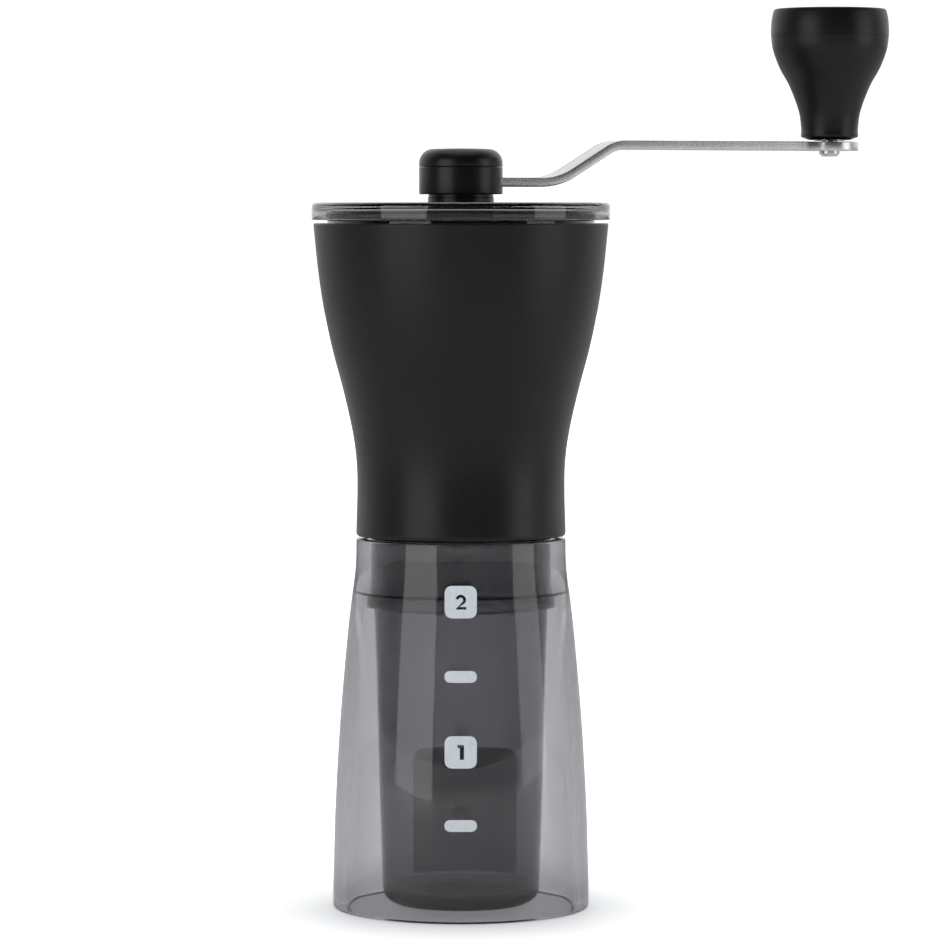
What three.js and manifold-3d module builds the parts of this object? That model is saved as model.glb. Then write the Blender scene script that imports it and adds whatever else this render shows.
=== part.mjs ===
// Slim hand coffee mill: a smoke container, a black waisted body that holds the hopper and the burrs,
// and a crank with a flared knob. Millimetres, +Z up. The origin is on the mill's axis, in the plane
// that the container's rim stands on. The crank lies along +X at rest.
import * as THREE from 'three';
import { mergeVertices } from 'three/addons/utils/BufferGeometryUtils.js';
import Module from 'manifold-3d';

const wasm = await Module();
wasm.setup();

// ---- driving dimensions ----
const ROUND = 36; // facets round the large walls
const HUB_ROUND = 32; // facets round the hub, the knob and the lid's ring
const SMALL_ROUND = 24; // facets round shafts, bushes and washers
const BURR_ROUND = 50; // facets round the burrs, five to a tooth of the inner one
const GAP = 0.3; // space kept between pieces that touch on the real mill
const FRONT = THREE.MathUtils.degToRad(-113); // direction that the container's front faces

const CONTAINER_TOP = 89.8;
const CONTAINER_WALL = 3.1;
const NECK_BORE = 22.3;
const WEB_TOP = 76.2; // the cup's flange, which hangs under the skirt's shoulder
const WEB_UNDERSIDE = 73.3;
const CUP_UNDERSIDE = 1.0;
const CUP_FLOOR = 3.75;
const CUP_FILLET = 4.0;

const BODY_BOTTOM = 90.4;
const BODY_TOP = 165.9;
const SHELL_WALL = 2.0;

const CHAMBER_R = 18.0; // bore below the funnel, where the outer burr sits
const SPIGOT_R = 21.9;
const HOPPER_RIM_TOP = 168.9;
const HOPPER_RIM_R = 32.4;
const HOPPER_RIM_BORE = 30.4;

const BURR_TOP = 109.9;
const BURR_BOTTOM = 97.9;
const SHAFT_R = 3.0;
const THREAD_R = 2.9;
const SHAFT_BOTTOM = 84.1;
const DRIVE_HEX_R = 3.3; // across corners, half; turns the inner burr
const CRANK_HEX_R = 2.95; // across corners, half; the crank lifts off it
const CRANK_HEX_TOP = 177.5;
const BOSS_BOTTOM = 122.6;
const BOSS_TOP = 131.6;
const CLIP_BOTTOM = BOSS_TOP + 1.4;
const WASHER_R = 6.5;

const LID_R = 36.1;
const LID_BOTTOM = 166.7;
const LID_TOP = 170.9;
const LID_PLATE = 1.6;

const NECK_R = 8.0;
const NECK_BOTTOM = 159;
const HUB_R = 10.1;
const HUB_BOTTOM = 172.9;
const HUB_SEAM = 179.5;
const HUB_TOP = 184.0;
const SOCKET_TOP = 178.4; // top of the collar's socket, under the cap's plug
const KEEPER_BOTTOM = 168.0;
const KEEPER_TOP = 168.8;

const CRANK_REACH = 100;
const ARM_WIDTH = 8;
const ARM_THICKNESS = 2.25;
const ARM_HUB_Z = 175.85; // middle of the arm's thickness at the hub
const ARM_KNOB_Z = 185.0; // and at the knob
const ARM_SLOPE = THREE.MathUtils.degToRad(31);
const EYE_R = 7.2;

const KNOB_BOTTOM = 186.6;
const KNOB_SEAM = 212.55;
const KNOB_TOP = 219.2;
const PIN_R = 2.0;

// ---- materials ----
function finish(color, roughness, metalness = 0, opacity = 1) {
  return new THREE.MeshStandardMaterial({
    color, roughness, metalness, opacity, transparent: opacity < 1,
  });
}
const smokePlastic = () => finish(0x4a484d, 0.15, 0, 0.5);
const bodyPlastic = () => finish(0x242326, 0.6);
const blackPlastic = () => finish(0x1d1c1f, 0.5);
const ceramic = () => finish(0xe6e2d8, 0.45);
const steel = () => finish(0xb9bbbe, 0.3, 1);
const labelFilm = () => finish(0x2e2c31, 0.7);

// ---- geometry helpers ----
// Points of an arc in the radius-height plane, angles in degrees.
function arc(r, z, radius, from, to, steps = 4) {
  const points = [];
  for (let i = 0; i <= steps; i += 1) {
    const a = THREE.MathUtils.degToRad(from + ((to - from) * i) / steps);
    points.push([r + radius * Math.cos(a), z + radius * Math.sin(a)]);
  }
  return points;
}

// Points of a smooth curve through the given ones.
function smooth(points, steps) {
  const curve = new THREE.SplineCurve(points.map(([r, z]) => new THREE.Vector2(r, z)));
  return curve.getPoints(steps).map((p) => [p.x, p.y]);
}

const inset = (points, wall) => points.map(([r, z]) => [r - wall, z]);
const reversed = (points) => [...points].reverse();

// A solid of revolution about Z. The profile runs anticlockwise, with radius to the right and
// height up. One that doesn't start on the axis is closed on itself.
function lathe(profile, facets = SMALL_ROUND) {
  const points = profile.map(([r, z]) => new THREE.Vector2(r, z));
  if (profile[0][0] > 0) points.push(points[0].clone());
  return new THREE.LatheGeometry(points, facets).rotateX(Math.PI / 2);
}

// A ring or tube between two radii and two heights.
function ring(inner, outer, bottom, top, facets = SMALL_ROUND) {
  return lathe([[inner, bottom], [outer, bottom], [outer, top], [inner, top]], facets);
}

function hexPrism(radius, bottom, top) {
  const height = top - bottom;
  return new THREE.CylinderGeometry(radius, radius, height, 6).rotateX(Math.PI / 2)
    .translate(0, 0, bottom + height / 2);
}

function box(width, depth, height, x, y, z) {
  return new THREE.BoxGeometry(width, depth, height).translate(x, y, z);
}

// Booleans on closed geometries.
function toSolid(geometry) {
  const bare = geometry.clone();
  bare.deleteAttribute('normal');
  bare.deleteAttribute('uv');
  const merged = mergeVertices(bare, 1e-4);
  const index = merged.index.array;
  const triangles = [];
  for (let i = 0; i < index.length; i += 3) {
    const [a, b, c] = [index[i], index[i + 1], index[i + 2]];
    if (a !== b && b !== c && c !== a) triangles.push(a, b, c);
  }
  return new wasm.Manifold(new wasm.Mesh({
    numProp: 3,
    vertProperties: new Float32Array(merged.attributes.position.array),
    triVerts: new Uint32Array(triangles),
  }));
}

function toGeometry(solid) {
  const mesh = solid.getMesh();
  const geometry = new THREE.BufferGeometry();
  geometry.setAttribute('position', new THREE.BufferAttribute(mesh.vertProperties, 3));
  geometry.setIndex(new THREE.BufferAttribute(mesh.triVerts, 1));
  geometry.computeVertexNormals();
  return geometry;
}

function join(...geometries) {
  return toGeometry(geometries.map(toSolid).reduce((a, b) => a.add(b)));
}

function cut(geometry, ...cutters) {
  return toGeometry(cutters.map(toSolid).reduce((a, b) => a.subtract(b), toSolid(geometry)));
}

function common(a, b) {
  return toGeometry(toSolid(a).intersect(toSolid(b)));
}

// ---- the assembly ----
const mill = new THREE.Group();

function node(name, geometry, material, parent = mill) {
  const mesh = new THREE.Mesh(geometry, material);
  mesh.name = name;
  parent.add(mesh);
}

// ---- container ----
// The skirt's outside, from just above the base edge to just below the top edge.
const skirtOutside = smooth(
  [[31.15, 2.4], [30.5, 25.6], [29.35, 45.5], [27.65, 65], [26.6, 74.5], [25.75, 81],
    [25.4, 89.3]], 9,
);

function containerSkirt() {
  const shoulder = WEB_TOP + GAP;
  const inside = inset(skirtOutside, CONTAINER_WALL).filter(([, z]) => z > 3 && z < shoulder - 3);
  return lathe([
    [28.0, 0], [30.7, 0],
    ...arc(30.7, 0.6, 0.6, -60, 0, 2),
    ...skirtOutside,
    [25.0, CONTAINER_TOP], [NECK_BORE, CONTAINER_TOP], [NECK_BORE, shoulder], [23.2, shoulder],
    [23.2, shoulder - 2.0],
    ...reversed(inside),
  ], ROUND);
}

// The cup hangs from a flange that is welded up under the skirt's shoulder.
function groundsCup() {
  return lathe([
    [0, CUP_UNDERSIDE],
    ...arc(15.0, CUP_UNDERSIDE + CUP_FILLET, CUP_FILLET, -90, -8),
    [19.9, 31], [20.5, 58], [21.1, WEB_UNDERSIDE - 0.6], [21.7, WEB_UNDERSIDE],
    [22.8, WEB_UNDERSIDE], [22.8, WEB_TOP], [19.7, WEB_TOP], [19.2, WEB_TOP - 0.5],
    ...reversed(arc(14.6, CUP_FLOOR + 2.8, 2.8, -90, -6, 3)),
    [0, CUP_FLOOR],
  ], ROUND);
}

// A blank sticker that follows the outside of the skirt at the back.
function rearLabel() {
  const width = 35;
  const [bottom, top] = [2.6, 33.2];
  const corner = 4;
  const outline = new THREE.Shape();
  outline.moveTo(-width / 2, bottom);
  outline.lineTo(width / 2, bottom);
  outline.lineTo(width / 2, top - corner);
  outline.absarc(width / 2 - corner, top - corner, corner, 0, Math.PI / 2, false);
  outline.lineTo(-width / 2 + corner, top);
  outline.absarc(-width / 2 + corner, top - corner, corner, Math.PI / 2, Math.PI, false);
  const sector = new THREE.ExtrudeGeometry(outline, {
    depth: 30, bevelEnabled: false, curveSegments: 4,
  }).rotateX(Math.PI / 2).rotateZ(Math.PI).translate(0, 12, 0);
  const film = skirtOutside.filter(([, z]) => z < 50);
  const sleeve = lathe([...inset(film, -0.6), ...reversed(inset(film, -GAP))], ROUND);
  const offCentre = THREE.MathUtils.degToRad(-3);
  return common(sleeve, sector.rotateZ(FRONT + Math.PI / 2 + offCentre));
}

function addContainer() {
  node('container_skirt', containerSkirt(), smokePlastic());
  node('grounds_cup', groundsCup(), smokePlastic());
  node('rear_label', rearLabel(), labelFilm());
}

// ---- body ----
const shellOutside = smooth(
  [[25.4, 91.2], [25.1, 101.3], [26.3, 115.85], [28.45, 125.55], [31.05, 135.25],
    [33.1, 144.95], [34.55, 154.6], [35.62, BODY_TOP - 0.6]], 12,
);

function bodyShell() {
  return lathe([
    [25.4 - SHELL_WALL, BODY_BOTTOM], [25.0, BODY_BOTTOM], [25.35, BODY_BOTTOM + 0.4],
    ...shellOutside,
    [35.3, BODY_TOP], [35.6 - SHELL_WALL, BODY_TOP],
    ...reversed(inset(shellOutside, SHELL_WALL)),
  ], ROUND);
}

// The hopper lines the shell. Its funnel ends over the burr chamber, and below the shell it
// carries the spigot that plugs into the container's neck.
function hopper() {
  const spigotBottom = WEB_TOP + GAP;
  const shoulder = CONTAINER_TOP + GAP;
  const ledge = BURR_TOP + 0.4;
  const lining = inset(shellOutside, SHELL_WALL + GAP).filter(([, z]) => z > 93 && z < 155);
  const funnel = smooth([[30.2, 151], [27.9, 141], [24.2, 129], [20.0, 120], [15.0, 113.3]], 5);
  return lathe([
    [CHAMBER_R, spigotBottom], [SPIGOT_R - 0.4, spigotBottom], [SPIGOT_R, spigotBottom + 0.4],
    [SPIGOT_R, shoulder], [22.8, shoulder],
    ...lining,
    [HOPPER_RIM_R, 159], [HOPPER_RIM_R, HOPPER_RIM_TOP], [HOPPER_RIM_BORE, HOPPER_RIM_TOP],
    ...funnel,
    [15.0, ledge], [CHAMBER_R, ledge],
  ], ROUND);
}

// Three arms hold a boss on the axis, and a rim rests on the funnel's wall.
function shaftBridge() {
  const boss = ring(4.9, 7.2, BOSS_BOTTOM, BOSS_TOP);
  const rim = ring(20.9, 22.8, BOSS_TOP - 3.7, BOSS_TOP - 0.7, ROUND);
  const arms = [0, 1, 2].map((i) => (
    box(15.2, 3, 5.5, 14, 0, BOSS_TOP - 3.45).rotateZ((i * 2 * Math.PI) / 3)
  ));
  return join(boss, rim, ...arms);
}

function shaftBush() {
  return lathe([
    [SHAFT_R + GAP, BOSS_BOTTOM + GAP], [4.6, BOSS_BOTTOM + GAP], [4.6, BOSS_TOP + GAP],
    [6.0, BOSS_TOP + GAP], [6.0, BOSS_TOP + 1.1], [SHAFT_R + GAP, BOSS_TOP + 1.1],
  ]);
}

// Pushes the vertices of a solid of revolution inwards in saw teeth that wind round it.
function serrate(geometry, { teeth, depth, twist, from, to }) {
  const position = geometry.attributes.position;
  for (let i = 0; i < position.count; i += 1) {
    const [x, y, z] = [position.getX(i), position.getY(i), position.getZ(i)];
    const radius = Math.hypot(x, y);
    if (radius >= from && radius <= to) {
      const turn = (Math.atan2(y, x) / (2 * Math.PI)) * teeth + z * twist;
      const tooth = turn + 1e-4 - Math.floor(turn + 1e-4);
      const scale = (radius + depth * tooth) / radius;
      position.setXYZ(i, x * scale, y * scale, z);
    }
  }
  return geometry;
}

function outerBurr() {
  const grinding = [[14.2, BURR_TOP], [14.5, 107], [14.8, 104], [15.1, 101]];
  const body = lathe([
    [15.4, BURR_BOTTOM], [CHAMBER_R - 0.4, BURR_BOTTOM], [CHAMBER_R - 0.4, BURR_TOP],
    ...grinding,
  ], BURR_ROUND);
  return serrate(body, { teeth: 10, depth: 1.3, twist: 0.08, from: 14.0, to: 15.2 });
}

function burrRetainer() {
  return lathe([
    [16.0, 94.6], [17.2, 94.6], [CHAMBER_R - 0.4, 95.0], [CHAMBER_R - 0.4, BURR_BOTTOM - GAP],
    [15.6, BURR_BOTTOM - GAP],
  ], ROUND);
}

function addBody() {
  node('body_shell', bodyShell(), bodyPlastic());
  node('hopper', hopper(), smokePlastic());
  node('shaft_bridge', shaftBridge(), blackPlastic());
  node('shaft_bush', shaftBush(), blackPlastic());
  node('outer_burr', outerBurr(), ceramic());
  node('burr_retainer', burrRetainer(), blackPlastic());
}

// ---- lid ----
function hopperLid() {
  const underside = LID_TOP - LID_PLATE;
  return lathe([
    [33.0, LID_BOTTOM], [35.7, LID_BOTTOM], [LID_R, LID_BOTTOM + 0.4],
    ...arc(LID_R - 1, LID_TOP - 1, 1, 0, 90, 3),
    [NECK_R + 0.5, LID_TOP], [NECK_R + 0.5, underside], [32.5, underside],
    [33.0, underside - 0.5],
  ], ROUND);
}

// ---- spindle ----
function driveShaft() {
  const core = lathe([
    [0, SHAFT_BOTTOM], [2.4, SHAFT_BOTTOM], [THREAD_R, SHAFT_BOTTOM + 0.5], [THREAD_R, 113],
    [SHAFT_R, 113], [SHAFT_R, CLIP_BOTTOM - GAP], [2.4, CLIP_BOTTOM - GAP],
    [2.4, CLIP_BOTTOM + 0.8 + GAP], [SHAFT_R, CLIP_BOTTOM + 0.8 + GAP],
    [SHAFT_R, NECK_BOTTOM - 0.8], [2.5, NECK_BOTTOM - GAP], [0, NECK_BOTTOM - GAP],
  ]);
  const burrDrive = hexPrism(DRIVE_HEX_R, 93, 113.4);
  const crankDrive = hexPrism(CRANK_HEX_R, NECK_BOTTOM - 2, CRANK_HEX_TOP);
  return join(core, burrDrive, crankDrive);
}

class Helix extends THREE.Curve {
  constructor(radius, bottom, height, turns) {
    super();
    Object.assign(this, { radius, bottom, height, turns });
  }

  getPoint(t) {
    const a = t * this.turns * 2 * Math.PI;
    const [x, y] = [this.radius * Math.cos(a), this.radius * Math.sin(a)];
    return new THREE.Vector3(x, y, this.bottom + t * this.height);
  }
}

function burrSpring() {
  const wire = new THREE.Shape().absarc(0, 0, 0.5, 0, 2 * Math.PI, false);
  return new THREE.ExtrudeGeometry(wire, {
    extrudePath: new Helix(4.9, 113.7, 7.3, 4), steps: 56, curveSegments: 3, bevelEnabled: false,
  });
}

// Ceramic cone with wound teeth and a hexagonal bore that slides on the shaft.
function innerBurr() {
  const cone = serrate(lathe([
    [0, 96.3], [13.2, 96.3], [13.5, 98.6], [12.9, 100.2], [12.1, 102], [10.6, 104.6],
    [9.0, 107.2], [7.4, 109.6], [6.4, 111.4], [5.6, 112], [0, 112],
  ], BURR_ROUND), { teeth: 10, depth: 1.3, twist: -0.22, from: 6.0, to: 13.6 });
  return cut(cone, hexPrism(DRIVE_HEX_R + 0.4, 90, 115));
}

function burrCarrier() {
  const disc = lathe([[0, 93.3], [10.6, 93.3], [11.2, 93.9], [11.2, 96.0], [0, 96.0]]);
  return cut(disc, hexPrism(DRIVE_HEX_R + 0.4, 90, 99));
}

// A wheel with five finger lobes.
function adjustingNut() {
  const lobes = 5;
  const outline = new THREE.Shape();
  const steps = 40;
  for (let i = 0; i < steps; i += 1) {
    const a = (i / steps) * 2 * Math.PI;
    const radius = 10.2 + 1.2 * Math.cos(lobes * a);
    const [x, y] = [radius * Math.cos(a), radius * Math.sin(a)];
    if (i === 0) outline.moveTo(x, y);
    else outline.lineTo(x, y);
  }
  outline.holes.push(new THREE.Path().absarc(0, 0, THREAD_R + GAP, 0, 2 * Math.PI, true));
  return new THREE.ExtrudeGeometry(outline, {
    depth: 3.8, bevelEnabled: false, curveSegments: 12,
  }).translate(0, 0, 89.2);
}

function addSpindle() {
  node('drive_shaft', driveShaft(), steel());
  node('shaft_clip', ring(2.7, 5.4, CLIP_BOTTOM, CLIP_BOTTOM + 0.8), steel());
  node('upper_washer', ring(3.6, WASHER_R, BOSS_BOTTOM - 0.9, BOSS_BOTTOM - GAP), steel());
  node('burr_spring', burrSpring(), steel());
  node('lower_washer', ring(3.6, WASHER_R, 112.3, 112.9), steel());
  node('inner_burr', innerBurr(), ceramic());
  node('burr_carrier', burrCarrier(), blackPlastic());
  node('adjusting_nut', adjustingNut(), blackPlastic());
}

// ---- crank ----
// Side view of the arm: level at the hub, an S-bend upwards, and level out to the knob.
function armSideOutline() {
  const [lowBend, highBend] = [17, 9];
  const bendStart = 19.6;
  const rise = ARM_KNOB_Z - ARM_HUB_Z;
  const bendRise = (lowBend + highBend) * (1 - Math.cos(ARM_SLOPE));
  const rampRun = (rise - bendRise) / Math.tan(ARM_SLOPE);
  const highCentreX = bendStart + (lowBend + highBend) * Math.sin(ARM_SLOPE) + rampRun;
  const half = ARM_THICKNESS / 2;
  const slope = THREE.MathUtils.radToDeg(ARM_SLOPE);
  const side = (offset) => [
    [-EYE_R - 1, ARM_HUB_Z + offset],
    ...arc(bendStart, ARM_HUB_Z + lowBend, lowBend - offset, -90, -90 + slope, 5),
    ...arc(highCentreX, ARM_KNOB_Z - highBend, highBend + offset, 90 + slope, 90, 5),
    [CRANK_REACH + EYE_R + 1, ARM_KNOB_Z + offset],
  ];
  return [...side(-half), ...reversed(side(half))];
}

// Plan of the arm: an eye under the hub, a parallel bar, and fillets into the eye at the knob.
function armPlan(grow = 0) {
  const half = ARM_WIDTH / 2 + grow;
  const hubEye = 7.0 + grow;
  const fillet = 6;
  const blend = Math.sqrt((EYE_R + fillet) ** 2 - (half + fillet) ** 2);
  const touch = Math.atan2(half + fillet, -blend);
  const root = Math.asin(half / hubEye);
  const plan = new THREE.Shape();
  plan.absarc(0, 0, hubEye, root, 2 * Math.PI - root, false);
  plan.absarc(CRANK_REACH - blend, -half - fillet, fillet, Math.PI / 2, Math.PI - touch, true);
  plan.absarc(CRANK_REACH, 0, EYE_R, -touch, touch, false);
  plan.absarc(CRANK_REACH - blend, half + fillet, fillet, touch - Math.PI, -Math.PI / 2, true);
  plan.closePath();
  return plan;
}

function crankArm() {
  const outline = new THREE.Shape(armSideOutline().map(([x, z]) => new THREE.Vector2(x, z)));
  const bar = new THREE.ExtrudeGeometry(outline, { depth: 2 * EYE_R + 2, bevelEnabled: false })
    .rotateX(Math.PI / 2).translate(0, EYE_R + 1, 0);
  const plan = armPlan();
  plan.holes.push(new THREE.Path().absarc(0, 0, 4.2, 0, 2 * Math.PI, true));
  plan.holes.push(new THREE.Path().absarc(CRANK_REACH, 0, PIN_R + GAP, 0, 2 * Math.PI, true));
  const footprint = new THREE.ExtrudeGeometry(plan, {
    depth: 20, bevelEnabled: false, curveSegments: 12,
  }).translate(0, 0, 172);
  return common(bar, footprint);
}

// Moulded round the arm's inner eye, with a hexagonal socket for the shaft.
function hubCollar() {
  const body = lathe([
    [0, NECK_BOTTOM], [7.6, NECK_BOTTOM], [NECK_R, NECK_BOTTOM + 0.4],
    [NECK_R, KEEPER_BOTTOM - GAP], [7.4, KEEPER_BOTTOM - GAP], [7.4, KEEPER_TOP + GAP],
    [NECK_R, KEEPER_TOP + GAP], [NECK_R, HUB_BOTTOM], [9.9, HUB_BOTTOM],
    [HUB_R, HUB_BOTTOM + 0.3], [HUB_R, HUB_SEAM - 0.15], [8.2, HUB_SEAM - 0.15],
    [8.2, SOCKET_TOP], [0, SOCKET_TOP],
  ], HUB_ROUND);
  const slot = new THREE.ExtrudeGeometry(armPlan(GAP), {
    depth: ARM_THICKNESS + 2 * GAP, bevelEnabled: false, curveSegments: 12,
  }).translate(0, 0, ARM_HUB_Z - ARM_THICKNESS / 2 - GAP);
  const slotWithCore = cut(slot, lathe([[0, 170], [4.2 - GAP, 170], [4.2 - GAP, 182], [0, 182]]));
  return cut(body, hexPrism(CRANK_HEX_R + 0.35, 150, 190), slotWithCore);
}

function hubCap() {
  return lathe([
    [0, SOCKET_TOP + GAP], [7.9, SOCKET_TOP + GAP], [7.9, HUB_SEAM + 0.15],
    [HUB_R, HUB_SEAM + 0.15],
    ...arc(HUB_R - 3.45, HUB_TOP - 3.7, 3.45, 0, 85, 5),
    [0, HUB_TOP],
  ], HUB_ROUND);
}

// A ring clipped in the neck's groove: the lid comes off with the crank.
function lidKeeper() {
  return ring(7.7, 11.6, KEEPER_BOTTOM, KEEPER_TOP, HUB_ROUND);
}

// Shank through the knob's bush and the arm's eye, with its tail peened over under the arm.
function knobPin() {
  const armUnderside = ARM_KNOB_Z - ARM_THICKNESS / 2;
  return lathe([
    [0, armUnderside - 1.4], [2.1, armUnderside - 1.4], [2.6, armUnderside - 1.0],
    [2.6, armUnderside - GAP], [PIN_R, armUnderside - GAP], [PIN_R, 203.8], [3.4, 203.8],
    [3.4, 205.0], [3.0, 205.4], [0, 205.4],
  ]);
}

function crankKnob() {
  return lathe([
    [4.2, KNOB_BOTTOM], [5.2, KNOB_BOTTOM], [7.0, KNOB_BOTTOM + 0.7],
    ...smooth([[7.15, 187.8], [7.12, 189.8], [7.8, 194.1], [10.05, 200], [12.5, 204.5],
      [14.2, 209], [14.68, KNOB_SEAM - 0.15]], 9),
    [12.3, KNOB_SEAM - 0.15], [12.3, 209.7], [4.2, 209.7],
  ], HUB_ROUND);
}

function knobCap() {
  return lathe([
    [0, 210], [12.0, 210], [12.0, KNOB_SEAM + 0.15], [14.7, KNOB_SEAM + 0.15],
    [14.72, 213.9], [14.56, 216.4], [14.1, 218.4], [13.5, 218.95], [12.5, KNOB_TOP], [0, KNOB_TOP],
  ], HUB_ROUND);
}

function addCrank() {
  node('crank_arm', crankArm(), steel());
  node('hub_collar', hubCollar(), blackPlastic());
  node('hub_cap', hubCap(), blackPlastic());
  node('lid_keeper', lidKeeper(), blackPlastic());
  const knobGroup = new THREE.Group();
  knobGroup.position.x = CRANK_REACH;
  node('knob_pin', knobPin(), steel(), knobGroup);
  node('knob_washer', ring(PIN_R + GAP, 3.9, 186.45, 187.2), steel(), knobGroup);
  node('knob_bush', ring(PIN_R + GAP, 3.9, 187.5, 203.5), blackPlastic(), knobGroup);
  node('crank_knob', crankKnob(), bodyPlastic(), knobGroup);
  node('knob_cap', knobCap(), bodyPlastic(), knobGroup);
  mill.add(knobGroup);
}

addContainer();
addBody();
node('hopper_lid', hopperLid(), smokePlastic());
addSpindle();
addCrank();

export default mill;
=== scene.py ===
import math

import bmesh
import bpy
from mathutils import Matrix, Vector


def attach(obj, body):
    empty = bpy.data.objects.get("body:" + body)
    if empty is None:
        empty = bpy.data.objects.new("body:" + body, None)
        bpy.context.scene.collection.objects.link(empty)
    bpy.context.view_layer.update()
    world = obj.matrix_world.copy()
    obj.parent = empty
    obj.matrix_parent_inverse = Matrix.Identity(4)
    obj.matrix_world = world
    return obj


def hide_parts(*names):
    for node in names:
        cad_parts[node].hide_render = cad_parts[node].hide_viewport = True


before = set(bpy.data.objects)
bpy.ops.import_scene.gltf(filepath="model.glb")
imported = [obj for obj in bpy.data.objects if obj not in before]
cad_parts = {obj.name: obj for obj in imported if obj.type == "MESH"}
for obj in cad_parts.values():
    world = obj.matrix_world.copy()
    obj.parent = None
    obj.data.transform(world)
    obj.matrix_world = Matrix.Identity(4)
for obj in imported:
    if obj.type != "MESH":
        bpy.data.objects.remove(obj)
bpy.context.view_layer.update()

MM = 0.001
FRONT = math.radians(-113)  # the way the container's front faces
GAP = 0.3  # the space that the frame keeps between pieces that touch

# ---- driving dimensions, millimetres ----
CONTAINER_TOP = 89.8
CONTAINER_WALL = 3.1
NECK_BORE = 22.3
WEB_TOP = 76.2
WEB_UNDERSIDE = 73.3
CUP_UNDERSIDE = 1.0
CUP_FLOOR = 3.75

BODY_BOTTOM = 90.4
BODY_TOP = 165.9
SHELL_WALL = 2.0

CHAMBER_R = 18.0
SPIGOT_R = 21.9
HOPPER_RIM_TOP = 168.9

BURR_TOP = 109.9
BURR_BOTTOM = 97.9
SHAFT_BOTTOM = 84.1
THREAD_TOP = 93.0
BURR_HEX_TOP = 113.4
BOSS_BOTTOM = 122.6
BOSS_TOP = 131.6
CLIP_BOTTOM = 133.0

LID_R = 36.1
LID_BOTTOM = 166.7
LID_TOP = 170.9
LID_PLATE = 1.6
NECK_R = 8.0
NECK_BOTTOM = 159.0
KEEPER_BOTTOM = 168.0
KEEPER_TOP = 168.8

HUB_R = 10.1
HUB_BOTTOM = 172.9
HUB_SEAM = 179.5
HUB_TOP = 184.0
SOCKET_TOP = 178.4
CRANK_HEX_TOP = 177.5

CRANK_REACH = 100.0
ARM_WIDTH = 8.0
ARM_THICKNESS = 2.25
ARM_HUB_Z = 175.85
ARM_KNOB_Z = 185.0
ARM_SLOPE = math.radians(31)
EYE_R = 7.2

KNOB_BOTTOM = 186.6
KNOB_SEAM = 212.55
KNOB_TOP = 219.2
KNOB_AXIS = (CRANK_REACH, 0)
PIN_HEAD_BOTTOM = 203.8
PIN_HEAD_TOP = 205.4


# ---- outlines ----
def arc(r, z, radius, start, end, steps=8):
    """Points of an arc in the radius-height plane, angles in degrees."""
    points = []
    for i in range(steps + 1):
        a = math.radians(start + (end - start) * i / steps)
        points.append((r + radius * math.cos(a), z + radius * math.sin(a)))
    return points


def smooth(knots, steps):
    """A Catmull-Rom curve through the knots, with the given number of steps in all."""
    last = len(knots) - 1
    points = []
    for i in range(steps + 1):
        place = last * i / steps
        k = min(int(place), last - 1)
        t = place - k
        p0, p1 = knots[max(k - 1, 0)], knots[k]
        p2, p3 = knots[k + 1], knots[min(k + 2, last)]
        point = []
        for a, b, c, d in zip(p0, p1, p2, p3):
            v0, v1 = (c - a) / 2, (d - b) / 2
            cubic = 2 * b - 2 * c + v0 + v1
            square = 3 * c - 3 * b - 2 * v0 - v1
            point.append(cubic * t**3 + square * t**2 + v0 * t + b)
        points.append(tuple(point))
    return points


def inset(points, wall):
    return [(r - wall, z) for r, z in points]


def rounded(corners, closed=False, steps=5):
    """An outline with its corners rounded: each corner is (r, z) or (r, z, fillet radius)."""
    count = len(corners)
    points = []
    for i, corner in enumerate(corners):
        here = Vector(corner[:2])
        fillet = corner[2] if len(corner) > 2 else 0
        at_end = not closed and i in (0, count - 1)
        if not fillet or at_end:
            points.append(tuple(here))
            continue
        back = Vector(corners[i - 1][:2]) - here
        ahead = Vector(corners[(i + 1) % count][:2]) - here
        half = back.angle(ahead) / 2
        reach = min(fillet / math.tan(half), back.length * 0.49, ahead.length * 0.49)
        radius = reach * math.tan(half)
        first, last = here + back.normalized() * reach, here + ahead.normalized() * reach
        centre = here + (back.normalized() + ahead.normalized()).normalized() * radius / math.sin(half)
        from_angle = math.atan2(first.y - centre.y, first.x - centre.x)
        sweep = math.atan2(last.y - centre.y, last.x - centre.x) - from_angle
        sweep = (sweep + math.pi) % (2 * math.pi) - math.pi
        for k in range(steps + 1):
            a = from_angle + sweep * k / steps
            points.append((centre.x + radius * math.cos(a), centre.y + radius * math.sin(a)))
    return points


# ---- meshes ----
def finish_mesh(name, mesh, material, crease=35):
    """Closes off a mesh, shades it smooth between creases, and puts it in the scene."""
    bm = bmesh.new()
    bm.from_mesh(mesh)
    bmesh.ops.remove_doubles(bm, verts=bm.verts, dist=1e-7)
    bmesh.ops.recalc_face_normals(bm, faces=bm.faces)
    bm.to_mesh(mesh)
    bm.free()
    mesh.shade_smooth()
    mesh.set_sharp_from_angle(angle=math.radians(crease))
    mesh.materials.append(material)
    piece = bpy.data.objects.new(name, mesh)
    bpy.context.scene.collection.objects.link(piece)
    return piece


def new_mesh(name, points, faces):
    """A mesh from points in millimetres."""
    mesh = bpy.data.meshes.new(name)
    mesh.from_pydata([Vector(p) * MM for p in points], [], faces)
    return mesh


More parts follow.
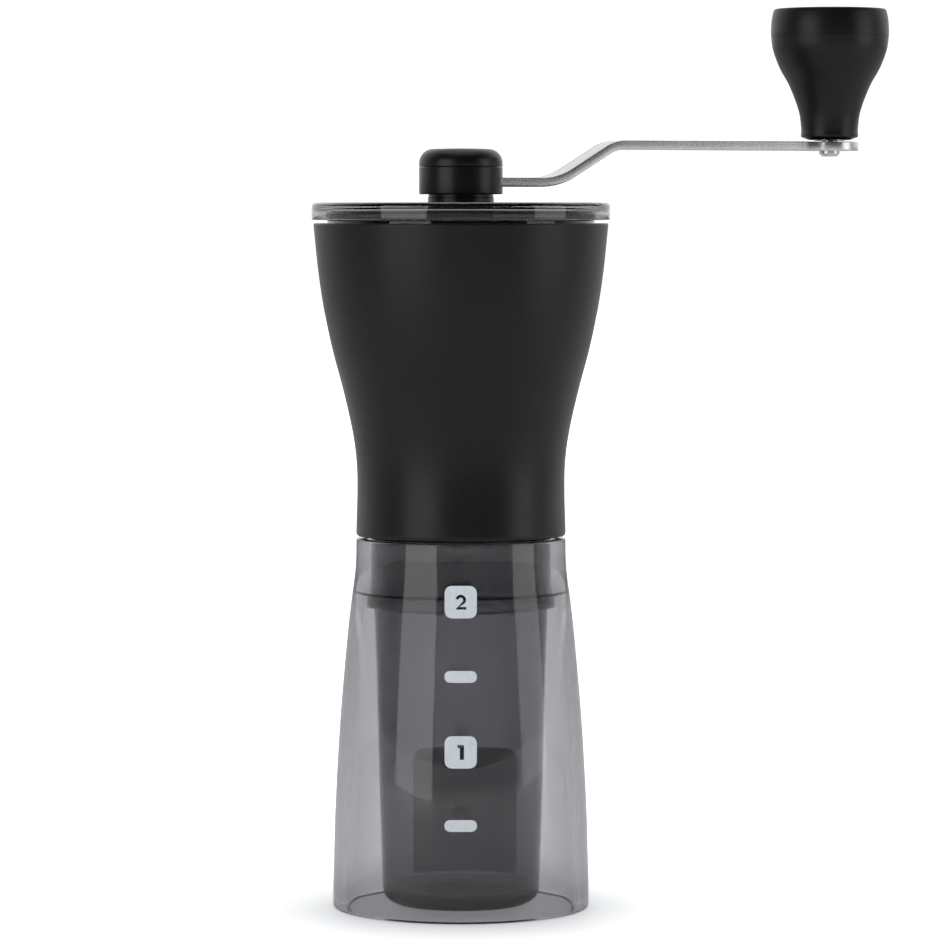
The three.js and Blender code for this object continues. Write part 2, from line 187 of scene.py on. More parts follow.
def lathe(name, outline, material, facets=160, centre=(0, 0), warp=None):
    """A solid of revolution about a vertical axis. An outline that doesn't start on the axis is
    closed on itself. warp(radius, angle, height) gives a new radius."""
    closed = outline[0][0] > 1e-6
    rings, points = [], []
    for r, z in outline:
        if r < 1e-6:
            rings.append([len(points)] * facets)
            points.append((centre[0], centre[1], z))
            continue
        rings.append(list(range(len(points), len(points) + facets)))
        for i in range(facets):
            a = 2 * math.pi * i / facets
            radius = warp(r, a, z) if warp else r
            points.append((centre[0] + radius * math.cos(a), centre[1] + radius * math.sin(a), z))
    if closed:
        rings.append(rings[0])
    faces = []
    for low, high in zip(rings, rings[1:]):
        for i in range(facets):
            j = (i + 1) % facets
            face = [low[i], low[j], high[j], high[i]]
            face = [v for k, v in enumerate(face) if v != face[k - 1]]
            if len(face) > 2:
                faces.append(face)
    return finish_mesh(name, new_mesh(name, points, faces), material)


def ring(name, inner, outer, bottom, top, material, facets=96, centre=(0, 0), edge=0.15):
    """A washer or sleeve with softened edges."""
    corners = [(inner, bottom, edge), (outer, bottom, edge), (outer, top, edge), (inner, top, edge)]
    return lathe(name, rounded(corners, closed=True, steps=3), material, facets, centre)


def loft(name, sections, material, crease=35):
    """A closed mesh through sections of equal point count, with both ends capped."""
    count = len(sections[0])
    points = [p for section in sections for p in section]
    faces = []
    for s in range(len(sections) - 1):
        for i in range(count):
            j = (i + 1) % count
            a, b = s * count, (s + 1) * count
            faces.append([a + i, a + j, b + j, b + i])
    faces.append(list(range(count))[::-1])
    faces.append([(len(sections) - 1) * count + i for i in range(count)])
    return finish_mesh(name, new_mesh(name, points, faces), material, crease)


# ---- materials ----
class Material:
    """A node material around one Principled shader, with short ways to add its nodes."""

    def __init__(self, name, **sockets):
        self.material = bpy.data.materials.new(name)
        self.material.use_nodes = True
        self.tree = self.material.node_tree
        self.shader = self.tree.nodes["Principled BSDF"]
        for key, value in sockets.items():
            self.shader.inputs[key.replace("_", " ")].default_value = value

    def node(self, kind, inputs=None, **settings):
        node = self.tree.nodes.new(kind)
        for key, value in settings.items():
            setattr(node, key, value)
        for key, value in (inputs or {}).items():
            if isinstance(value, bpy.types.NodeSocket):
                self.tree.links.new(value, node.inputs[key])
            else:
                node.inputs[key].default_value = value
        return node

    def place(self):
        return self.node("ShaderNodeTexCoord").outputs["Object"]

    def noise(self, scale, detail=2.0, roughness=0.5, stretch=None):
        place = self.place()
        if stretch:
            place = self.node("ShaderNodeMapping", {"Vector": place, "Scale": stretch}).outputs["Vector"]
        inputs = {"Vector": place, "Scale": scale, "Detail": detail, "Roughness": roughness}
        return self.node("ShaderNodeTexNoise", inputs).outputs["Fac"]

    def spread(self, value, low, high):
        inputs = {"Value": value, "From Min": 0.3, "From Max": 0.7, "To Min": low, "To Max": high}
        return self.node("ShaderNodeMapRange", inputs).outputs["Result"]

    def blend(self, value, low, high):
        ramp = self.node("ShaderNodeValToRGB", {"Fac": value})
        ramp.color_ramp.elements[0].position = 0.3
        ramp.color_ramp.elements[0].color = (*low, 1)
        ramp.color_ramp.elements[1].position = 0.7
        ramp.color_ramp.elements[1].color = (*high, 1)
        return ramp.outputs["Color"]

    def drive(self, socket, value):
        self.tree.links.new(value, self.shader.inputs[socket])

    def bump(self, height, distance, strength=1.0):
        inputs = {"Height": height, "Distance": distance, "Strength": strength}
        self.drive("Normal", self.node("ShaderNodeBump", inputs).outputs["Normal"])


def grained_plastic(name, dark, light, roughness, grain=0.00002):
    """Moulded plastic with a fine spark-eroded grain."""
    look = Material(name, Specular_IOR_Level=0.3)
    fine = look.noise(2600, 3.0, 0.6)
    broad = look.noise(60, 2.0)
    look.drive("Base Color", look.blend(fine, dark, light))
    look.drive("Roughness", look.spread(broad, roughness - 0.04, roughness + 0.04))
    look.bump(fine, grain)
    return look.material


def clear_plastic(name, tint=(1, 1, 1)):
    """Clear moulding with the faint ripple of a moulded wall."""
    look = Material(name, Transmission_Weight=1.0, IOR=1.49, Base_Color=(*tint, 1))
    look.drive("Roughness", look.spread(look.noise(500, 2.0), 0.01, 0.03))
    look.bump(look.noise(35, 1.0), 0.00004, 0.5)
    return look


def smoke_plastic(name, density):
    """Clear plastic that darkens light along its way through the wall, a little less in blue."""
    look = clear_plastic(name)
    inputs = {"Color": (0.02, 0.0, 0.05, 1), "Density": density}
    absorption = look.node("ShaderNodeVolumeAbsorption", inputs).outputs["Volume"]
    output = next(n for n in look.tree.nodes if n.bl_idname == "ShaderNodeOutputMaterial")
    look.tree.links.new(absorption, output.inputs["Volume"])
    return look.material


def satin_steel(name, base=0.62, roughness=0.28, grain=(1, 1, 1)):
    look = Material(name, Metallic=1.0)
    speck = look.noise(2200, 3.0, 0.65, grain)
    broad = look.noise(90, 2.0)
    look.drive("Base Color", look.blend(broad, (base - 0.05,) * 3, (base + 0.03,) * 3))
    look.drive("Roughness", look.spread(speck, roughness - 0.03, roughness + 0.05))
    look.bump(speck, 0.000008)
    return look.material


def fired_ceramic(name):
    look = Material(name, Roughness=0.45)
    look.drive("Base Color", look.blend(look.noise(300, 4.0), (0.70, 0.67, 0.60), (0.82, 0.80, 0.74)))
    look.bump(look.noise(1500, 3.0), 0.00001)
    return look.material


def printed_ink(name):
    look = Material(name, Roughness=0.4)
    look.drive("Base Color", look.blend(look.noise(900, 3.0), (0.70, 0.77, 0.82), (0.78, 0.84, 0.88)))
    look.bump(look.noise(3000, 2.0), 0.000004)
    return look.material


def label_film(name):
    look = Material(name, Roughness=0.5)
    look.drive("Base Color", look.blend(look.noise(700, 3.0), (0.008, 0.007, 0.010), (0.012, 0.011, 0.014)))
    look.bump(look.noise(1200, 2.0), 0.000006)
    return look.material


# One plastic in three densities, each matched to how dark its own piece looks.
SKIRT_SMOKE = smoke_plastic("skirt_smoke", 185)
CUP_SMOKE = smoke_plastic("cup_smoke", 520)
HOPPER_SMOKE = smoke_plastic("hopper_smoke", 600)
LID_SMOKE = clear_plastic("lid_smoke", (0.28, 0.27, 0.285)).material
BODY = grained_plastic("body", (0.0025, 0.0023, 0.0032), (0.005, 0.0047, 0.006), 0.33)
HUB = grained_plastic("hub", (0.0025, 0.0025, 0.003), (0.005, 0.005, 0.0055), 0.31)
KNOB = grained_plastic("knob", (0.0025, 0.0023, 0.0036), (0.005, 0.0047, 0.0065), 0.36)
INNER = grained_plastic("inner", (0.008, 0.008, 0.009), (0.012, 0.012, 0.013), 0.4, 0.00001)
ARM_STEEL = satin_steel("arm_steel")
TURNED_STEEL = satin_steel("turned_steel", 0.32, 0.25, (1, 1, 6))
# Near-black steel is painted shade: the shaft's threaded end sits in shade under the mill, so the whole
# shaft is darkened.
SHADE_PAINTED_STEEL = satin_steel("shade_painted_steel", 0.03, 0.4, (1, 1, 6))
CERAMIC = fired_ceramic("ceramic")
INK = printed_ink("ink")
LABEL = label_film("label")


# ---- container ----
SKIRT = smooth([
    (31.15, 2.4), (30.9, 13), (30.5, 25.6), (29.35, 45.5), (27.65, 65), (26.6, 74.5), (25.75, 81),
    (25.45, 85.5), (25.4, 89.3),
], 64)


def skirt_radius(z):
    """Outer radius of the skirt at a height."""
    for (r0, z0), (r1, z1) in zip(SKIRT, SKIRT[1:]):
        if z <= z1:
            return r0 + (r1 - r0) * (z - z0) / (z1 - z0)
    return SKIRT[-1][0]


def container_skirt():
    shoulder = WEB_TOP + GAP
    inside = [p for p in inset(SKIRT, CONTAINER_WALL) if 4 < p[1] < shoulder - 3][::-1]
    return lathe("skirt_moulding", rounded([
        (28.0, 0, 0.3), (31.1, 0, 0.8), *SKIRT, (25.35, CONTAINER_TOP, 0.35),
        (NECK_BORE, CONTAINER_TOP, 0.3), (NECK_BORE, shoulder, 0.2), (23.2, shoulder, 0.4), *inside,
    ], closed=True), SKIRT_SMOKE, 192)


def grounds_cup():
    return lathe("cup_moulding", rounded([
        (0, CUP_UNDERSIDE), (19.0, CUP_UNDERSIDE, 4.0), (19.9, 31), (20.5, 58),
        (21.1, WEB_UNDERSIDE, 0.6), (22.8, WEB_UNDERSIDE, 0.3), (22.8, WEB_TOP, 0.2),
        (19.2, WEB_TOP, 0.5), (17.15, CUP_FLOOR, 3.0), (0, CUP_FLOOR),
    ]), CUP_SMOKE, 192)


def wrap_on_skirt(outline_object, facing, lift, name, material, strips=24):
    """Lays a flat mesh (x across, y up, millimetres) on the skirt, as a thin closed film."""
    bm = bmesh.new()
    bm.from_mesh(outline_object.to_mesh())
    low = min(v.co.x for v in bm.verts)
    high = max(v.co.x for v in bm.verts)
    for i in range(1, strips):
        x = low + (high - low) * i / strips
        parts = bm.verts[:] + bm.edges[:] + bm.faces[:]
        bmesh.ops.bisect_plane(bm, geom=parts, plane_co=(x, 0, 0), plane_no=(1, 0, 0))
    for y in range(0, 90, 3):
        parts = bm.verts[:] + bm.edges[:] + bm.faces[:]
        bmesh.ops.bisect_plane(bm, geom=parts, plane_co=(0, y, 0), plane_no=(0, 1, 0))
    bmesh.ops.remove_doubles(bm, verts=bm.verts, dist=1e-4)
    extruded = bmesh.ops.extrude_face_region(bm, geom=bm.faces[:])["geom"]
    outer = {v for v in extruded if isinstance(v, bmesh.types.BMVert)}
    for v in bm.verts:
        radius = skirt_radius(v.co.y) + (lift + 0.04 if v in outer else lift)
        a = facing + v.co.x / skirt_radius(v.co.y)
        v.co = Vector((radius * math.cos(a), radius * math.sin(a), v.co.y)) * MM
    mesh = bpy.data.meshes.new(name)
    bm.to_mesh(mesh)
    bm.free()
    bpy.data.objects.remove(outline_object)
    return finish_mesh(name, mesh, material)


def flat_outline(loops):
    """A filled flat shape from closed loops; inner loops are holes."""
    curve = bpy.data.curves.new("outline", "CURVE")
    curve.dimensions = "2D"
    curve.fill_mode = "BOTH"
    for loop in loops:
        spline = curve.splines.new("POLY")
        spline.points.add(len(loop) - 1)
        for point, (x, y) in zip(spline.points, loop):
            point.co = (x, y, 0, 1)
        spline.use_cyclic_u = True
    return bpy.data.objects.new("outline", curve)


def rounded_box(width, height, radius, x=0, y=0, steps=8):
    corners = [(-1, -1), (1, -1), (1, 1), (-1, 1)]
    box = [(x + sx * width / 2, y + sy * height / 2, radius) for sx, sy in corners]
    return rounded(box, closed=True, steps=steps)


def digit_one(x, y, height):
    """A plain sans 1: a stem with a square flag."""
    stem = 0.22 * height
    left, right = x - 0.06 * height, x + stem
    top, bottom = y + height / 2, y - height / 2
    return [
        (left, bottom), (right, bottom), (right, top), (left - 0.16 * height, top),
        (left - 0.16 * height, top - 0.2 * height), (left, top - 0.2 * height),
    ]


def digit_two(x, y, height):
    """A plain sans 2: a bowl, a slanting stem and a foot."""
    stroke = 0.2 * height
    bowl = 0.36 * height
    centre_y = y + height / 2 - bowl
    half = 0.37 * height
    bottom = y - height / 2
    outer = arc(x, centre_y, bowl, 165, -38, 16)
    inner = arc(x, centre_y, bowl - stroke, -42, 172, 12)
    foot_top = bottom + 0.9 * stroke
    foot = [
        (x - half + 1.35 * stroke, foot_top), (x + half, foot_top), (x + half, bottom), (x - half, bottom),
    ]
    return outer + foot + inner


def grind_marks():
    """Printed scale: numbered squares with a dash under each."""
    square, dash = 7.65, 2.8
    front = []
    for number, height, dash_height in ((digit_two, 76.3, 58.7), (digit_one, 40.9, 23.5)):
        front.append([rounded_box(square, square, 1.75, 0, height), number(0, height, 3.5)])
        front.append([rounded_box(square + 0.1, dash, dash / 2 - 0.01, 0, dash_height)])
    names = ("mark_two", "dash_upper", "mark_one", "dash_lower")
    return [
        wrap_on_skirt(flat_outline(loops), FRONT, 0.03, name, INK)
        for name, loops in zip(names, front)
    ]


def rear_label():
    width, bottom, top = 35, 2.6, 33.2
    facing = FRONT + math.radians(180 - 3.3)
    label = rounded([
        (-width / 2, bottom, 1), (width / 2, bottom, 1), (width / 2, top, 4), (-width / 2, top, 4),
    ], closed=True)
    return wrap_on_skirt(flat_outline([label]), facing, 0.03, "rear_sticker", LABEL)


# ---- body ----
SHELL = smooth([
    (25.4, 91.2), (25.12, 101.3), (25.3, 108.5), (26.29, 115.85), (28.47, 125.55), (31.03, 135.25),
    (33.08, 144.95), (34.53, 154.6), (35.62, BODY_TOP - 0.6),
], 80)


def body_shell():
    return lathe("body_sleeve", rounded([
        (23.3, BODY_BOTTOM, 0.3), (25.25, BODY_BOTTOM, 0.5), *SHELL,
        (35.68, BODY_TOP, 0.45), (33.65, BODY_TOP, 0.3), *inset(SHELL, SHELL_WALL)[::-1],
    ], closed=True), BODY, 192)


def hopper():
    lining = [p for p in inset(SHELL, SHELL_WALL + GAP) if 93 < p[1] < 155]
    funnel = smooth([(30.2, 151), (27.9, 141), (24.2, 129), (20.0, 120), (15.0, 113.3)], 30)
    return lathe("hopper_lining", rounded([
        (CHAMBER_R, WEB_TOP + GAP, 0.3), (SPIGOT_R, WEB_TOP + GAP, 0.5),
        (SPIGOT_R, CONTAINER_TOP + GAP, 0.1), (22.8, CONTAINER_TOP + GAP, 0.2), *lining,
        (32.4, 159), (32.4, HOPPER_RIM_TOP, 0.5), (30.4, HOPPER_RIM_TOP, 0.5), *funnel,
        (15.0, BURR_TOP + 0.4, 0.2), (CHAMBER_R, BURR_TOP + 0.4),
    ], closed=True), HOPPER_SMOKE, 160)


def shaft_bridge():
    """The boss, its three arms and the rim, as overlapping closed shells of one piece."""
    boss = ring("bridge_boss", 4.9, 7.2, BOSS_BOTTOM, BOSS_TOP, INNER, edge=0.4)
    rim = ring("bridge_rim", 20.9, 22.8, BOSS_TOP - 3.7, BOSS_TOP - 0.7, INNER, 160, edge=0.4)
    arms = []
    for i in range(3):
        sections = []
        for x in (6.6, 21.4):
            section = rounded_box(3, 5.5, 0.6, 0, BOSS_TOP - 3.45, 4)
            sections.append([turned(x, y, z, i * 120) for y, z in section])
        arms.append(loft(f"bridge_arm_{i + 1}", sections, INNER))
    return [boss, rim, *arms]


def turned(x, y, z, degrees):
    a = math.radians(degrees)
    return (x * math.cos(a) - y * math.sin(a), x * math.sin(a) + y * math.cos(a), z)


def shaft_bush():
    return lathe("bush_sleeve", rounded([
        (3.3, BOSS_BOTTOM + GAP, 0.2), (4.6, BOSS_BOTTOM + GAP, 0.2), (4.6, BOSS_TOP + GAP),
        (6.0, BOSS_TOP + GAP, 0.2), (6.0, BOSS_TOP + 1.1, 0.3), (3.3, BOSS_TOP + 1.1, 0.2),
    ], closed=True, steps=3), INNER, 96)


def saw(teeth, depth, twist, low, high):
    """Teeth that wind round a burr: a warp for lathe()."""
    def warp(r, a, z):
        if not low <= r <= high:
            return r
        turn = a / (2 * math.pi) * teeth + z * twist
        tooth = turn - math.floor(turn)
        return r + depth * min(tooth, (1 - tooth) * 6)
    return warp


def outer_burr():
    grinding = [(14.2 + 0.15 * i, BURR_TOP - 1.5 * i) for i in range(7)]
    outline = rounded([
        (15.4, BURR_BOTTOM, 0.2), (17.6, BURR_BOTTOM, 0.2), (17.6, BURR_TOP, 0.3), *grinding,
    ], closed=True, steps=3)
    return lathe("outer_burr_ring", outline, CERAMIC, 240, warp=saw(10, 1.3, 0.08, 14.0, 15.2))


def burr_retainer():
    return lathe("retainer_ring", rounded([
        (16.0, 94.6, 0.2), (17.6, 94.6, 0.5), (17.6, BURR_BOTTOM - GAP, 0.2), (15.6, BURR_BOTTOM - GAP, 0.2),
    ], closed=True, steps=3), INNER)


def hopper_lid():
    return lathe("lid_moulding", rounded([
        (33.0, LID_BOTTOM, 0.25), (LID_R, LID_BOTTOM, 0.4), (LID_R, LID_TOP, 1.0),
        (NECK_R + 0.5, LID_TOP, 0.3), (NECK_R + 0.5, LID_TOP - LID_PLATE, 0.2),
        (33.0, LID_TOP - LID_PLATE, 0.8),
    ], closed=True), LID_SMOKE, 192)


# ---- spindle ----
def drive_shaft():
    """Threaded end, hexagon for the burr, round shank and hexagonal head for the crank."""
    pitch, depth = 1.0, 0.55

    def thread(r, a, z):
        if not SHAFT_BOTTOM + 0.2 < z < THREAD_TOP:
            return r
        phase = (z / pitch - a / (2 * math.pi)) % 1
        return r - depth * abs(2 * phase - 1)

    def hexagon(r, a):
        return r / math.cos((a + math.pi / 6) % (math.pi / 3) - math.pi / 6) * math.cos(math.pi / 6)

    def warp(r, a, z):
        if THREAD_TOP <= z <= BURR_HEX_TOP or z >= NECK_BOTTOM - 2:
            return hexagon(r, a)
        return thread(r, a, z)

    rows = [SHAFT_BOTTOM + 0.3 + 0.08 * i for i in range(108)]
    outline = [(0, SHAFT_BOTTOM), (2.2, SHAFT_BOTTOM), (2.55, SHAFT_BOTTOM + 0.15)]
    groove = (CLIP_BOTTOM - GAP, CLIP_BOTTOM + 0.8 + GAP)
    outline += [(2.9, z) for z in rows] + [
        (2.9, THREAD_TOP - 0.01), (3.3, THREAD_TOP + 0.01), (3.3, BURR_HEX_TOP - 0.01),
        (3.0, BURR_HEX_TOP + 0.01), (3.0, groove[0]), (2.4, groove[0]), (2.4, groove[1]),
        (3.0, groove[1]), (3.0, NECK_BOTTOM - 2.1), (2.95, NECK_BOTTOM - 1.9),
        (2.95, CRANK_HEX_TOP - 0.3), (2.7, CRANK_HEX_TOP), (0, CRANK_HEX_TOP),
    ]
    # The shaft's near-black finish is painted shade for its threaded end.
    return lathe("shaft_turned", outline, SHADE_PAINTED_STEEL, 96, warp=warp)


def burr_spring():
    turns, low, high, radius = 4, 113.75, 120.95, 4.9
    curve = bpy.data.curves.new("spring_wire", "CURVE")
    curve.dimensions = "3D"
    curve.bevel_depth = 0.5 * MM
    curve.bevel_resolution = 4
    curve.use_fill_caps = True
    steps = turns * 32
    spline = curve.splines.new("POLY")
    spline.points.add(steps)
    for i, point in enumerate(spline.points):
        a = 2 * math.pi * turns * i / steps
        z = low + (high - low) * i / steps
        point.co = (radius * math.cos(a) * MM, radius * math.sin(a) * MM, z * MM, 1)
    curve.materials.append(TURNED_STEEL)
    piece = bpy.data.objects.new("spring_wire", curve)
    bpy.context.scene.collection.objects.link(piece)
    return piece


def inner_burr():
    outline = rounded([
        (3.7, 96.3), (13.2, 96.3, 0.2), (13.5, 98.6), (12.9, 100.2), (12.1, 102), (11.35, 103.3),
        (10.6, 104.6), (9.8, 105.9), (9.0, 107.2), (8.2, 108.4), (7.4, 109.6), (6.4, 111.4), (5.6, 112),
        (3.7, 112),
    ], closed=True, steps=3)
    return lathe("inner_burr_cone", outline, CERAMIC, 240, warp=saw(10, 1.3, -0.22, 6.0, 13.6))


def burr_carrier():
    return lathe("carrier_plate", rounded([
        (3.7, 93.3, 0.1), (11.2, 93.3, 0.6), (11.2, 96.0, 0.2), (3.7, 96.0, 0.1),
    ], closed=True, steps=3), INNER)


def adjusting_nut():
    """A wheel with five finger lobes and a raised collar."""
    def lobes(r, a, z):
        return r + (1.2 * math.cos(5 * a) if r > 8 else 0)
    outline = rounded([
        (3.2, 89.2, 0.2), (5.2, 89.2, 0.2), (5.6, 89.7), (9.0, 89.7, 0.3), (10.2, 89.7, 0.6),
        (10.2, 93.0, 0.4), (3.2, 93.0, 0.2),
    ], closed=True, steps=4)
    return lathe("nut_wheel", outline, INNER, 160, warp=lobes)


# ---- crank ----
def arm_stations():
    """Places along the arm as (x, middle height, slope, half width)."""
    low_bend, high_bend, start = 17.0, 9.0, 19.6
    rise = ARM_KNOB_Z - ARM_HUB_Z
    bends = (low_bend + high_bend) * (1 - math.cos(ARM_SLOPE))
    ramp = (rise - bends) / math.tan(ARM_SLOPE)
    low_end = start + low_bend * math.sin(ARM_SLOPE)
    high_start = low_end + ramp
    end = high_start + high_bend * math.sin(ARM_SLOPE)
    stations = [(x, ARM_HUB_Z, 0.0) for x in (-6.5, 0, 6, 12, 17)]
    for i in range(11):
        a = ARM_SLOPE * i / 10
        z = ARM_HUB_Z + low_bend * (1 - math.cos(a))
        stations.append((start + low_bend * math.sin(a), z, a))
    for i in range(11):
        a = ARM_SLOPE * (1 - i / 10)
        stations.append((end - high_bend * math.sin(a), ARM_KNOB_Z - high_bend * (1 - math.cos(a)), a))
    stations += [(x, ARM_KNOB_Z, 0.0) for x in (50, 60, 70, 80, 88)]
    fillet, half = 6.0, ARM_WIDTH / 2
    blend = math.sqrt((EYE_R + fillet) ** 2 - (half + fillet) ** 2)
    touch = math.atan2(half + fillet, -blend)
    placed = [(x, z, a, half) for x, z, a in stations]
    for i in range(9):
        x = CRANK_REACH - blend + i / 8 * (blend + EYE_R * math.cos(touch))
        drop = math.sqrt(fillet**2 - (x - CRANK_REACH + blend) ** 2)
        placed.append((x, ARM_KNOB_Z, 0.0, half + fillet - drop))
    for i in range(1, 41):
        a = touch * (1 - i / 40) + 0.02
        placed.append((CRANK_REACH + EYE_R * math.cos(a), ARM_KNOB_Z, 0.0, EYE_R * math.sin(a)))
    return placed


def crank_arm():
    sections = []
    half = ARM_THICKNESS / 2
    for x, z, slope, width in arm_stations():
        edge = min(0.28, width * 0.5)
        section = []
        for y, t in rounded_box(2 * width, 2 * half, edge, steps=3):
            section.append((x - t * math.sin(slope), y, z + t * math.cos(slope)))
        sections.append(section)
    return loft("arm_bar", sections, ARM_STEEL)


def hub_collar():
    return lathe("hub_lower", rounded([
        (3.3, NECK_BOTTOM, 0.2), (NECK_R, NECK_BOTTOM, 0.4), (NECK_R, KEEPER_BOTTOM - GAP),
        (7.4, KEEPER_BOTTOM - GAP), (7.4, KEEPER_TOP + GAP), (NECK_R, KEEPER_TOP + GAP),
        (NECK_R, HUB_BOTTOM - 0.9), (NECK_R - 0.15, HUB_BOTTOM - 0.75), (NECK_R - 0.15, HUB_BOTTOM),
        (HUB_R, HUB_BOTTOM, 0.3), (HUB_R, HUB_SEAM - 0.05, 0.12), (8.2, HUB_SEAM - 0.15),
        (8.2, SOCKET_TOP), (3.3, SOCKET_TOP),
    ], closed=True), HUB)


def hub_cap():
    dome = arc(HUB_R - 3.45, HUB_TOP - 3.6, 3.45, 0, 82, 16)
    return lathe("hub_upper", rounded([
        (0, SOCKET_TOP + GAP), (7.9, SOCKET_TOP + GAP), (7.9, HUB_SEAM + 0.05),
        (HUB_R, HUB_SEAM + 0.05, 0.12), *dome, (3.5, HUB_TOP - 0.08), (0, HUB_TOP),
    ]), HUB)


def lid_keeper():
    return ring("keeper_ring", 7.7, 11.6, KEEPER_BOTTOM, KEEPER_TOP, INNER, 128)


def knob_pin():
    under = ARM_KNOB_Z - ARM_THICKNESS / 2
    return lathe("pin_rivet", rounded([
        (0, under - 1.4), (1.9, under - 1.4, 0.2), (2.3, under - 0.9, 0.1), (2.6, under - 0.75, 0.15),
        (2.6, under + 0.05), (2.0, under + 0.05), (2.0, PIN_HEAD_BOTTOM), (3.4, PIN_HEAD_BOTTOM, 0.1),
        (3.4, PIN_HEAD_TOP, 0.5), (0, PIN_HEAD_TOP),
    ]), ARM_STEEL, 96, KNOB_AXIS)


def knob_body():
    outside = smooth([
        (7.15, 187.8), (7.12, 189.8), (7.8, 194.1), (10.04, 200), (12.5, 204.5), (14.18, 209),
        (14.68, KNOB_SEAM - 0.2),
    ], 60)
    return lathe("knob_lower", rounded([
        (4.2, KNOB_BOTTOM, 0.2), (5.2, KNOB_BOTTOM, 0.3), (7.12, KNOB_BOTTOM + 0.75, 0.3), *outside,
        (14.69, KNOB_SEAM - 0.02, 0.02), (12.3, KNOB_SEAM - 0.15), (12.3, 209.7), (4.2, 209.7),
    ], closed=True), KNOB, 160, KNOB_AXIS)


def knob_cap():
    side = smooth([(14.7, KNOB_SEAM + 0.2), (14.72, 213.9), (14.56, 216.4), (14.2, 218.3)], 16)
    return lathe("knob_upper", rounded([
        (0, 210), (12.0, 210), (12.0, KNOB_SEAM + 0.15), (14.7, KNOB_SEAM + 0.02, 0.02), *side,
        (13.9, KNOB_TOP, 0.8), (0, KNOB_TOP),
    ]), KNOB, 160, KNOB_AXIS)


# ---- putting the pieces on their bodies ----
def add(pieces, body, slot, *nodes):
    """Rides pieces on a body in place of CAD nodes. The slot argument is not used."""
    pieces = pieces if isinstance(pieces, list) else [pieces]
    for piece in pieces:
        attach(piece, body)
    for node in nodes:
        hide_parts(node)


add(container_skirt(), "container", "smoke_plastic", "container_skirt")
add(grounds_cup(), "container", "smoke_plastic", "grounds_cup")
add(rear_label(), "container", "label_film", "rear_label")
add(grind_marks(), "container", "label_film")
add(body_shell(), "mill_body", "body_plastic", "body_shell")
add(hopper(), "mill_body", "smoke_plastic", "hopper")
add(shaft_bridge(), "mill_body", "inner_plastic", "shaft_bridge")
add(shaft_bush(), "mill_body", "inner_plastic", "shaft_bush")
add(outer_burr(), "mill_body", "burr_ceramic", "outer_burr")
add(burr_retainer(), "mill_body", "inner_plastic", "burr_retainer")
add(hopper_lid(), "lid", "lid_plastic", "hopper_lid")
add(drive_shaft(), "spindle", "shaft_steel", "drive_shaft")
add(ring("clip_ring", 2.5, 5.4, CLIP_BOTTOM, CLIP_BOTTOM + 0.8, TURNED_STEEL),
    "spindle", "shaft_steel", "shaft_clip")
add(ring("washer_top", 3.6, 6.5, BOSS_BOTTOM - 0.9, BOSS_BOTTOM - GAP, TURNED_STEEL),
    "spindle", "shaft_steel", "upper_washer")
add(burr_spring(), "burr_rotor", "shaft_steel", "burr_spring")
add(ring("washer_bottom", 3.6, 6.5, 112.3, 112.9, TURNED_STEEL), "burr_rotor", "shaft_steel", "lower_washer")
add(inner_burr(), "burr_rotor", "burr_ceramic", "inner_burr")
add(burr_carrier(), "burr_rotor", "inner_plastic", "burr_carrier")
add(adjusting_nut(), "nut_wheel", "inner_plastic", "adjusting_nut")
add(crank_arm(), "crank", "arm_steel", "crank_arm")
add(hub_collar(), "crank", "hub_plastic", "hub_collar")
add(hub_cap(), "crank", "hub_plastic", "hub_cap")
add(lid_keeper(), "crank", "inner_plastic", "lid_keeper")
add(knob_pin(), "crank", "arm_steel", "knob_pin")
add(knob_body(), "knob", "knob_plastic", "crank_knob")
add(knob_cap(), "knob", "knob_plastic", "knob_cap")
add(ring("bush_knob", 2.3, 3.9, 187.5, 203.5, INNER, centre=KNOB_AXIS), "knob", "inner_plastic", "knob_bush")
add(ring("washer_knob", 2.3, 3.9, 186.4, 187.2, ARM_STEEL, centre=KNOB_AXIS),
    "knob", "arm_steel", "knob_washer")


# ---- floor, light and camera ----
def direction(degrees_from_front, up=0.0):
    """A direction given as degrees round from the front, anticlockwise from above."""
    a = FRONT + math.radians(degrees_from_front)
    return Vector((math.cos(a), math.sin(a), up))


def seen_directly(look):
    """1 for rays that look straight at a surface or through clear plastic, 0 for lighting rays."""
    path = look.node("ShaderNodeLightPath").outputs
    inputs = {0: path["Is Camera Ray"], 1: path["Is Transmission Ray"]}
    return look.node("ShaderNodeMath", inputs, operation="MAXIMUM").outputs["Value"]


def studio_floor():
    """White paper that glows for the eye as if lit from behind, with its glow dimmed near the mill as a
    painted shadow, and that still takes the mill's soft shadow.
    """
    size = 6.0
    corners = [(-size, -size, 0), (size, -size, 0), (size, size, 0), (-size, size, 0)]
    mesh = bpy.data.meshes.new("floor")
    mesh.from_pydata(corners, [], [(0, 1, 2, 3)])
    look = Material("floor_paper", Roughness=0.6, Specular_IOR_Level=0.2, Emission_Color=(0.97, 0.985, 1, 1))
    look.drive("Base Color", look.blend(look.noise(3, 2.0), (0.86, 0.87, 0.89), (0.89, 0.90, 0.91)))
    # Painted contact shadow: the glow is 0.3 next to the mill's axis and rises to full 10 cm from it.
    away = look.node("ShaderNodeVectorMath", {0: look.place()}, operation="LENGTH").outputs["Value"]
    inputs = {"Value": away, "From Min": 0.03, "From Max": 0.1, "To Min": 0.3, "To Max": 1.0}
    painted_shadow_glow = look.node("ShaderNodeMapRange", inputs).outputs["Result"]
    glow = look.node("ShaderNodeMath", {0: seen_directly(look), 1: painted_shadow_glow}, operation="MULTIPLY")
    look.drive("Emission Strength", glow.outputs["Value"])
    mesh.materials.append(look.material)
    floor = bpy.data.objects.new("floor", mesh)
    bpy.context.scene.collection.objects.link(floor)


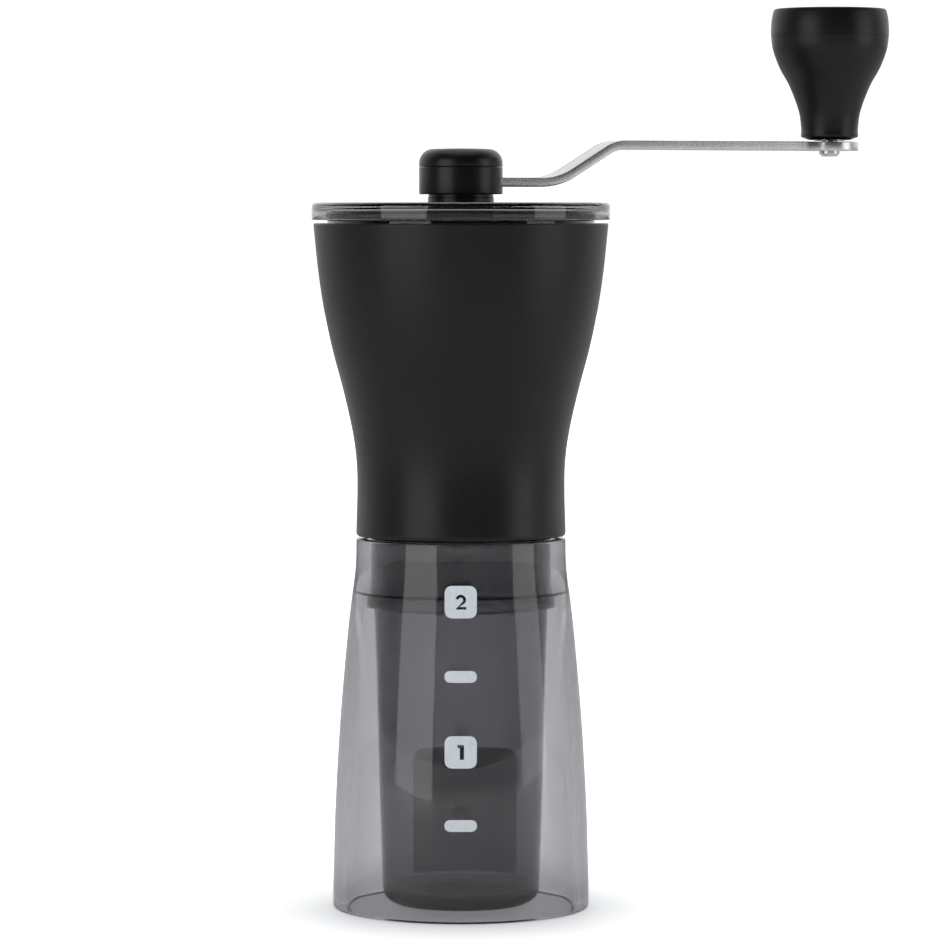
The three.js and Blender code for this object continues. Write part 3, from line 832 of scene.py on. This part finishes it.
def softbox(name, place, target, width, height, power, mirrored=True):
    light = bpy.data.lights.new(name, "AREA")
    light.shape = "RECTANGLE"
    light.size, light.size_y = width, height
    light.energy = power
    lamp = bpy.data.objects.new(name, light)
    lamp.location = place
    lamp.rotation_euler = (Vector(target) - Vector(place)).to_track_quat("-Z", "Y").to_euler()
    lamp.visible_camera = False
    lamp.visible_transmission = False
    lamp.visible_glossy = mirrored
    bpy.context.scene.collection.objects.link(lamp)


class World(Material):
    """The same short ways to add nodes, for the world."""

    def __init__(self, name):
        world = bpy.data.worlds.new(name)
        world.use_nodes = True
        bpy.context.scene.world = world
        self.tree = world.node_tree
        self.shader = self.tree.nodes["Background"]


def studio_light():
    """A white wall behind the mill, a dim room in front of it, and softboxes around it."""
    world = World("studio")
    world.shader.inputs["Color"].default_value = (1.0, 1.0, 1.0, 1)
    place = world.node("ShaderNodeTexCoord").outputs["Generated"]
    inputs = {0: place, 1: direction(180)}
    behind = world.node("ShaderNodeVectorMath", inputs, operation="DOT_PRODUCT").outputs["Value"]
    inputs = {"Value": behind, "From Min": -0.15, "From Max": 0.6, "To Min": 0.05, "To Max": 1.1}
    wall = world.node("ShaderNodeMapRange", inputs).outputs["Result"]
    strength = world.node("ShaderNodeMath", {0: seen_directly(world), 1: wall}, operation="MAXIMUM")
    world.drive("Strength", strength.outputs["Value"])
    middle = (0, 0, 0.11)
    softbox("left_box", direction(-44, 0.3) * 0.95, middle, 0.65, 0.7, 2.8)
    softbox("right_box", direction(72, 0.3) * 0.95, middle, 0.5, 0.7, 1.8)
    softbox("front_fill", direction(5, 0.5) * 1.3, middle, 0.9, 0.9, 4, mirrored=False)
    softbox("top_box", Vector((0, 0, 1.1)), middle, 0.8, 0.8, 2)


def photo_camera():
    """A long lens a little over a metre away, level with the lid."""
    distance, height, sideways = 1.104, 0.16868, 0.0022
    data = bpy.data.cameras.new("camera")
    data.sensor_width = 36.0
    data.lens = 174.7
    camera = bpy.data.objects.new("camera", data)
    right = direction(90)
    camera.location = direction(0) * distance + right * sideways + Vector((0, 0, height))
    camera.rotation_euler = (math.radians(90 - 3.24), 0, FRONT + math.radians(90))
    bpy.context.scene.collection.objects.link(camera)
    bpy.context.scene.camera = camera


studio_floor()
studio_light()
photo_camera()
bpy.context.scene.view_settings.view_transform = "Standard"
